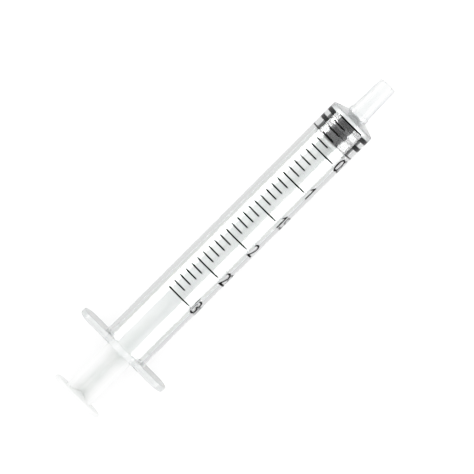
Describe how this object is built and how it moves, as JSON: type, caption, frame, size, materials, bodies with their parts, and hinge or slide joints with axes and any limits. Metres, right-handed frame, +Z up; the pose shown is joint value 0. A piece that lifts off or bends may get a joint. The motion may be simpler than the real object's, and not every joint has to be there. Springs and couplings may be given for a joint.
{
  "type": "oral syringe",
  "caption": "Clear oral syringe with finger flange, plain slip nozzle, rubber stopper and cross-ribbed plunger rod, plunger pushed home.",
  "frame": {"origin": "under the middle of the object, on the surface that the syringe lies on", "axes": "+X along the syringe's axis from the thumb plate towards the nozzle, Y along the span of the finger flange, +Z up through the front of the printed scale"},
  "size_m": [0.0894, 0.023, 0.012],
  "materials": {
    "clear_plastic": "clear moulded polypropylene, polished, no colour",
    "dark_rubber": "black moulded rubber, satin, wetted with silicone oil",
    "natural_plastic": "natural translucent polypropylene, satin",
    "scale_ink": "black pad-printed ink"
  },
  "bodies": {
    "barrel": {"barrel": "clear_plastic"},
    "stopper": {"stopper": "dark_rubber"},
    "plunger": {"plunger_rod": "natural_plastic"}
  },
  "joints": [
    {"name": "plunger_slide", "type": "slide", "parent": "barrel", "child": "stopper", "axis": [-1, 0, 0], "range_m": [0, 0.056]},
    {"name": "rod_turn", "type": "hinge", "parent": "stopper", "child": "plunger", "pos_m": [0, 0, 0.006], "axis": [1, 0, 0], "continuous": true}
  ]
}
